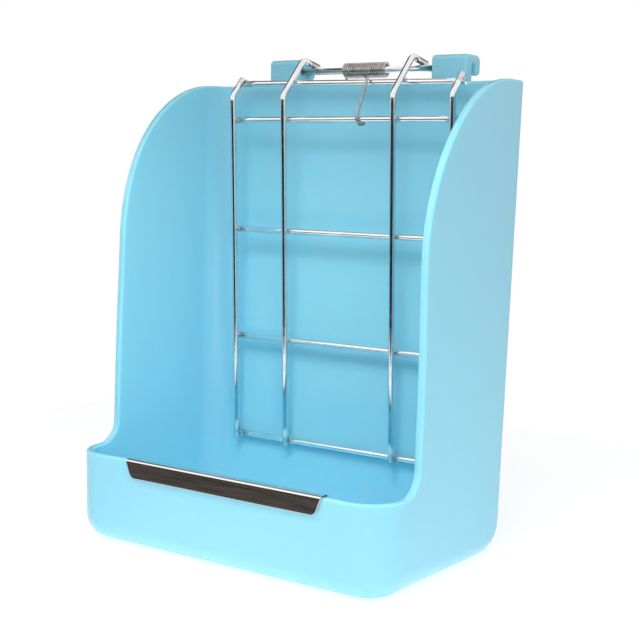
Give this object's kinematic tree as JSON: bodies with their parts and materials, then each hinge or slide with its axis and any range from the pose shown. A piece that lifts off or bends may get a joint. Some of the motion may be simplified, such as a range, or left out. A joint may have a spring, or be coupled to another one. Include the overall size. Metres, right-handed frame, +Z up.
{
  "type": "small pet hay feeder",
  "caption": "Blue moulded hay feeder that hooks on a cage wall, with a food trough, a sprung wire gate over its back panel and a steel chew guard on the lip.",
  "frame": {"origin": "middle of the base, on the surface it stands on", "axes": "+X to the right seen from the front, +Y to the back (the hooks and the cage wall), +Z up"},
  "size_m": [0.17, 0.1244, 0.2261],
  "materials": {
    "plastic": "gloss moulded",
    "wire": "bright plated",
    "spring_steel": "drawn wire",
    "guard_steel": "brushed"
  },
  "bodies": {
    "holder": {"body": "plastic", "chew_guard": "guard_steel", "spring_fixed_leg": "spring_steel"},
    "gate": {"hinge_rod": "wire", "outer_wire_left": "wire", "outer_wire_right": "wire", "inner_wire_left": "wire", "inner_wire_right": "wire", "cross_wire_top": "wire", "cross_wire_upper": "wire", "cross_wire_middle": "wire", "cross_wire_lower": "wire", "cross_wire_bottom": "wire", "torsion_spring": "spring_steel"}
  },
  "joints": [
    {"name": "gate_hinge", "type": "hinge", "parent": "holder", "child": "gate", "pos_m": [0, 0.061, 0.22], "axis": [-1, 0, 0], "range_deg": [0, 75], "stiffness_Nm_per_rad": 0.043, "springref_deg": -45.84}
  ]
}
